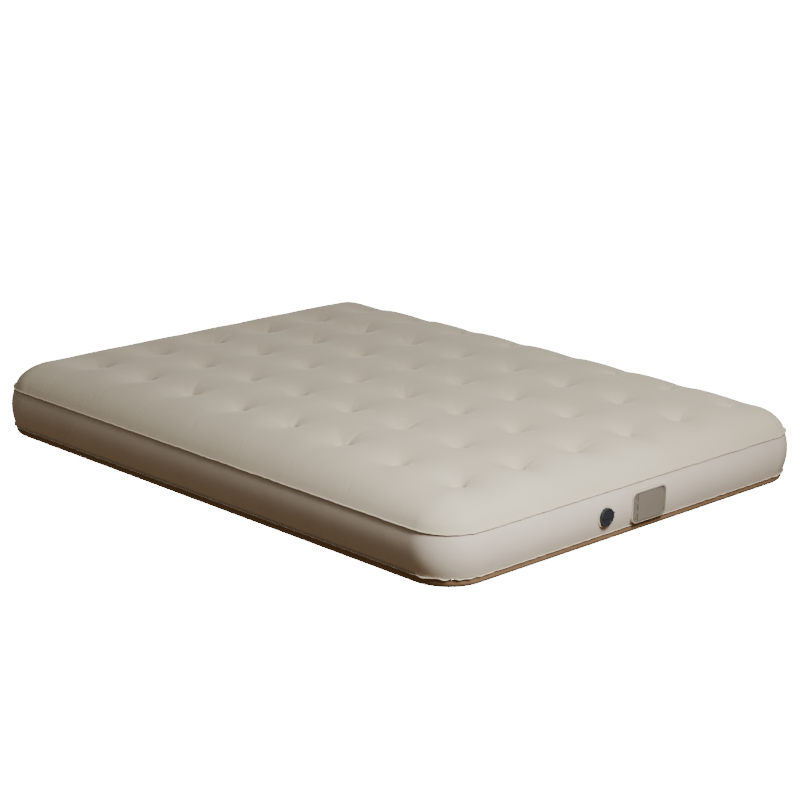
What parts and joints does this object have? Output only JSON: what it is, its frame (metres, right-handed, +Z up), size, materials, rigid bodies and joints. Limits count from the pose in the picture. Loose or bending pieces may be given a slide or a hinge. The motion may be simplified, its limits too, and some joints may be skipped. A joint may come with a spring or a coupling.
{
  "type": "air mattress",
  "caption": "Low queen air bed of welded film with coil tubes, a push-in plug valve and a built-in pump behind a hinged door in its end band.",
  "frame": {"origin": "bottom centre of the whole object's box, on the floor", "axes": "+X across the bed, +Y along it towards the end without fittings, +Z up; the pump and the valve face -Y"},
  "size_m": [1.5256, 1.9878, 0.24],
  "materials": {
    "flocked_top": "flocked velour, matt",
    "band_film": "satin film",
    "bottom_film": "satin film",
    "seam_film": "satin film",
    "inner_film": "satin film",
    "black_plastic": "semi-gloss",
    "black_rubber": "matt",
    "taupe_plastic": "fine matt texture",
    "case_plastic": "fine matt texture",
    "white_plastic": "satin",
    "steel": "satin",
    "copper_winding": "varnished wire",
    "wire_sheath": "satin"
  },
  "bodies": {
    "bed": {"top_sheet": "flocked_top", "side_band": "band_film", "end_panel": "band_film", "bottom_sheet": "bottom_film", "top_seam_flange": "seam_film", "bottom_seam_flange": "seam_film", "coil_tubes": "inner_film", "top_weld_discs": "inner_film", "bottom_weld_discs": "inner_film", "valve_weld_ring": "seam_film", "valve_body": "black_plastic", "tether_pin": "steel", "pump_collar": "seam_film", "pump_housing": "case_plastic", "bezel_gasket": "black_rubber", "pump_bezel": "taupe_plastic", "bezel_screws": "steel", "door_hinge_pin": "steel", "control_panel": "case_plastic", "panel_screws": "steel", "diverter_body": "white_plastic", "rotary_switch": "black_plastic", "intake_grille": "case_plastic", "power_inlet": "black_plastic", "inlet_pins": "steel", "volute_front": "white_plastic", "volute_back": "white_plastic", "motor_can": "steel", "motor_end_cap": "white_plastic", "motor_screws": "steel", "outlet_duct": "white_plastic", "plunger_guide": "white_plastic", "plunger_spring": "steel", "lead_wires": "wire_sheath"},
    "door": {"pump_door": "taupe_plastic"},
    "selector": {"selector_knob": "case_plastic", "selector_shaft": "steel", "diverter_rotor": "white_plastic"},
    "fan": {"impeller": "white_plastic", "motor_shaft": "steel", "armature": "copper_winding"},
    "plunger": {"outlet_plunger": "black_rubber"},
    "flap": {"valve_flap": "black_rubber"},
    "tether": {"cap_tether": "black_plastic"},
    "cap": {"valve_cap": "black_plastic", "cap_seal": "black_rubber"}
  },
  "joints": [
    {"name": "door_hinge", "type": "hinge", "parent": "bed", "child": "door", "pos_m": [-0.026, -0.9859, 0.081], "axis": [0, 0, -1], "range_deg": [0, 110]},
    {"name": "selector_turn", "type": "hinge", "parent": "bed", "child": "selector", "pos_m": [-0.0015, -0.959, 0.081], "axis": [0, -1, 0], "range_deg": [-60, 60]},
    {"name": "fan_spin", "type": "hinge", "parent": "bed", "child": "fan", "pos_m": [0.0505, -0.91, 0.081], "axis": [0, 1, 0], "continuous": true},
    {"name": "plunger_slide", "type": "slide", "parent": "bed", "child": "plunger", "axis": [0, 1, 0], "range_m": [0, 0.008], "stiffness_N_per_m": 200, "springref_m": -0.003, "deforming": ["plunger_spring"]},
    {"name": "flap_hinge", "type": "hinge", "parent": "bed", "child": "flap", "pos_m": [-0.156, -0.9709, 0.1016], "axis": [1, 0, 0], "range_deg": [0, 55], "stiffness_Nm_per_rad": 0.002},
    {"name": "cap_swing", "type": "hinge", "parent": "bed", "child": "tether", "pos_m": [-0.127, -0.9884, 0.084], "axis": [0, 0, 1], "range_deg": [0, 110]},
    {"name": "cap_twist", "type": "hinge", "parent": "tether", "child": "cap", "pos_m": [-0.156, -0.9884, 0.084], "axis": [0, -1, 0], "range_deg": [-90, 90]}
  ]
}
